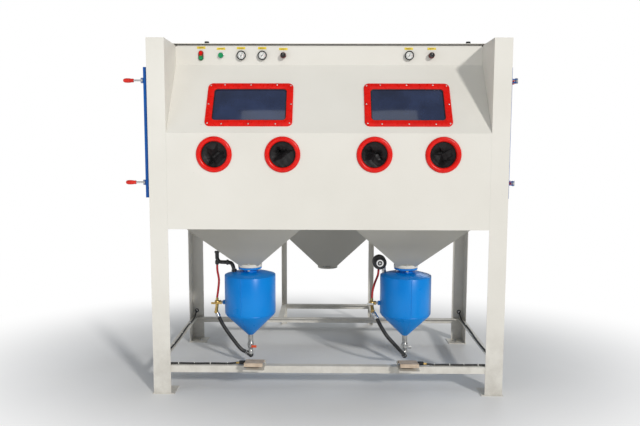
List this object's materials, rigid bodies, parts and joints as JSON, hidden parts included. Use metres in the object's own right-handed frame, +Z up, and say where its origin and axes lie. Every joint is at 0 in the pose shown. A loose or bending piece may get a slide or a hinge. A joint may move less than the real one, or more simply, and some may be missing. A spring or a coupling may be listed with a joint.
{
  "type": "sandblast cabinet",
  "caption": "Wide two-station sandblast cabinet on an open frame, with sloped windows, glove ports, side doors, hoppers, pressure pots below and a rear dust collector.",
  "frame": {"origin": "on the floor, under the middle of the machine's box", "axes": "+X to the operator's right, +Y from the front into the depth, +Z up"},
  "size_m": [2.1882, 1.6075, 2.0353],
  "materials": {
    "cream_paint": "semi-gloss powder coat",
    "plated_steel": "zinc-plated",
    "door_paint": "gloss enamel",
    "blue_paint": "gloss enamel",
    "red_plastic": "moulded and painted red",
    "green_plastic": "moulded",
    "window_glass": "laminated pane",
    "black_rubber": "matte",
    "black_parts": "satin black",
    "brass_fitting": "machined",
    "red_hose": "smooth",
    "pedal_beige": "worn"
  },
  "bodies": {
    "cabinet": {"left_side_frame": "cream_paint", "right_side_frame": "cream_paint", "front_rail": "cream_paint", "rear_rail": "cream_paint", "collector_frame": "cream_paint", "front_panel": "cream_paint", "left_side_panel": "cream_paint", "right_side_panel": "cream_paint", "rear_panel": "cream_paint", "roof_panel": "cream_paint", "left_hopper": "cream_paint", "right_hopper": "cream_paint", "collector_housing": "cream_paint", "work_grate": "plated_steel", "left_discharge_valve": "plated_steel", "right_discharge_valve": "plated_steel", "left_blast_pot": "blue_paint", "right_blast_pot": "blue_paint", "left_window_frame": "red_plastic", "right_window_frame": "red_plastic", "left_outer_arm_ring": "red_plastic", "left_inner_arm_ring": "red_plastic", "right_inner_arm_ring": "red_plastic", "right_outer_arm_ring": "red_plastic", "left_window_glass": "window_glass", "right_window_glass": "window_glass", "left_outer_glove": "black_rubber", "left_inner_glove": "black_rubber", "right_inner_glove": "black_rubber", "right_outer_glove": "black_rubber", "left_air_hose": "black_rubber", "right_air_hose": "black_rubber", "switch_plate": "black_parts", "pressure_gauge_left": "black_parts", "pressure_gauge_middle": "black_parts", "pressure_gauge_right": "black_parts", "left_relief_pipe": "black_parts", "right_silencer": "black_parts", "left_air_valve": "brass_fitting", "right_air_valve": "brass_fitting", "left_pilot_hose": "red_hose", "right_pilot_hose": "red_hose"},
    "left_door": {"left_door": "door_paint"},
    "right_door": {"right_door": "door_paint"},
    "left_upper_latch": {"left_upper_latch": "red_plastic"},
    "left_lower_latch": {"left_lower_latch": "red_plastic"},
    "right_upper_latch": {"right_upper_latch": "red_plastic"},
    "right_lower_latch": {"right_lower_latch": "red_plastic"},
    "start_button": {"start_button": "green_plastic"},
    "stop_button": {"stop_button": "red_plastic"},
    "blast_button": {"blast_button": "green_plastic"},
    "left_regulator_knob": {"left_regulator_knob": "red_plastic"},
    "right_regulator_knob": {"right_regulator_knob": "red_plastic"},
    "left_air_valve_handle": {"left_air_valve_handle": "brass_fitting"},
    "right_air_valve_handle": {"right_air_valve_handle": "brass_fitting"},
    "left_discharge_handle": {"left_discharge_handle": "red_plastic"},
    "right_discharge_handle": {"right_discharge_handle": "red_plastic"},
    "left_pedal": {"left_pedal": "pedal_beige"},
    "right_pedal": {"right_pedal": "pedal_beige"},
    "collector_door": {"collector_door": "cream_paint"}
  },
  "joints": [
    {"name": "left_door_swing", "type": "hinge", "parent": "cabinet", "child": "left_door", "pos_m": [-0.9675, 0.247, 1.49], "axis": [0, 0, 1], "range_deg": [-110, 0]},
    {"name": "right_door_swing", "type": "hinge", "parent": "cabinet", "child": "right_door", "pos_m": [1.0575, 0.247, 1.49], "axis": [0, 0, 1], "range_deg": [0, 110]},
    {"name": "left_upper_latch_turn", "type": "hinge", "parent": "left_door", "child": "left_upper_latch", "pos_m": [-0.989, -0.68, 1.781], "axis": [0, 0, 1], "range_deg": [-84, 0]},
    {"name": "right_upper_latch_turn", "type": "hinge", "parent": "right_door", "child": "right_upper_latch", "pos_m": [1.079, -0.68, 1.781], "axis": [0, 0, 1], "range_deg": [-88, 0]},
    {"name": "left_lower_latch_turn", "type": "hinge", "parent": "left_door", "child": "left_lower_latch", "pos_m": [-0.989, -0.68, 1.217], "axis": [0, 0, 1], "range_deg": [-84, 0]},
    {"name": "right_lower_latch_turn", "type": "hinge", "parent": "right_door", "child": "right_lower_latch", "pos_m": [1.079, -0.68, 1.217], "axis": [0, 0, 1], "range_deg": [-88, 0]},
    {"name": "start_button_press", "type": "slide", "parent": "cabinet", "child": "start_button", "axis": [0, 1, 0], "range_m": [0, 0.004], "stiffness_N_per_m": 400},
    {"name": "stop_button_press", "type": "slide", "parent": "cabinet", "child": "stop_button", "axis": [0, 1, 0], "range_m": [0, 0.004], "stiffness_N_per_m": 400},
    {"name": "blast_button_press", "type": "slide", "parent": "cabinet", "child": "blast_button", "axis": [0, 1, 0], "range_m": [0, 0.005], "stiffness_N_per_m": 400},
    {"name": "left_regulator_turn", "type": "hinge", "parent": "cabinet", "child": "left_regulator_knob", "pos_m": [-0.221, -0.446, 1.95], "axis": [0, -1, 0], "range_deg": [-150, 150]},
    {"name": "right_regulator_turn", "type": "hinge", "parent": "cabinet", "child": "right_regulator_knob", "pos_m": [0.645, -0.446, 1.95], "axis": [0, -1, 0], "range_deg": [-150, 150]},
    {"name": "left_air_valve_turn", "type": "hinge", "parent": "cabinet", "child": "left_air_valve_handle", "pos_m": [-0.67, -0.246, 0.418], "axis": [0, -1, 0], "range_deg": [0, 90]},
    {"name": "right_air_valve_turn", "type": "hinge", "parent": "cabinet", "child": "right_air_valve_handle", "pos_m": [0.33, -0.246, 0.418], "axis": [0, -1, 0], "range_deg": [-90, 0]},
    {"name": "left_discharge_turn", "type": "hinge", "parent": "cabinet", "child": "left_discharge_handle", "pos_m": [-0.455, -0.25, 0.138], "axis": [0, -1, 0], "range_deg": [0, 90]},
    {"name": "right_discharge_turn", "type": "hinge", "parent": "cabinet", "child": "right_discharge_handle", "pos_m": [0.545, -0.25, 0.138], "axis": [0, -1, 0], "range_deg": [0, 90]},
    {"name": "left_pedal_press", "type": "hinge", "parent": "cabinet", "child": "left_pedal", "pos_m": [-0.371, -0.686, 0.187], "axis": [1, 0, 0], "range_deg": [0, 7], "stiffness_Nm_per_rad": 6, "springref_deg": -14.32},
    {"name": "right_pedal_press", "type": "hinge", "parent": "cabinet", "child": "right_pedal", "pos_m": [0.503, -0.686, 0.187], "axis": [1, 0, 0], "range_deg": [0, 7], "stiffness_Nm_per_rad": 6, "springref_deg": -14.32},
    {"name": "collector_door_swing", "type": "hinge", "parent": "cabinet", "child": "collector_door", "pos_m": [-0.289, 0.7965, 1.42], "axis": [0, 0, 1], "range_deg": [0, 110]}
  ]
}
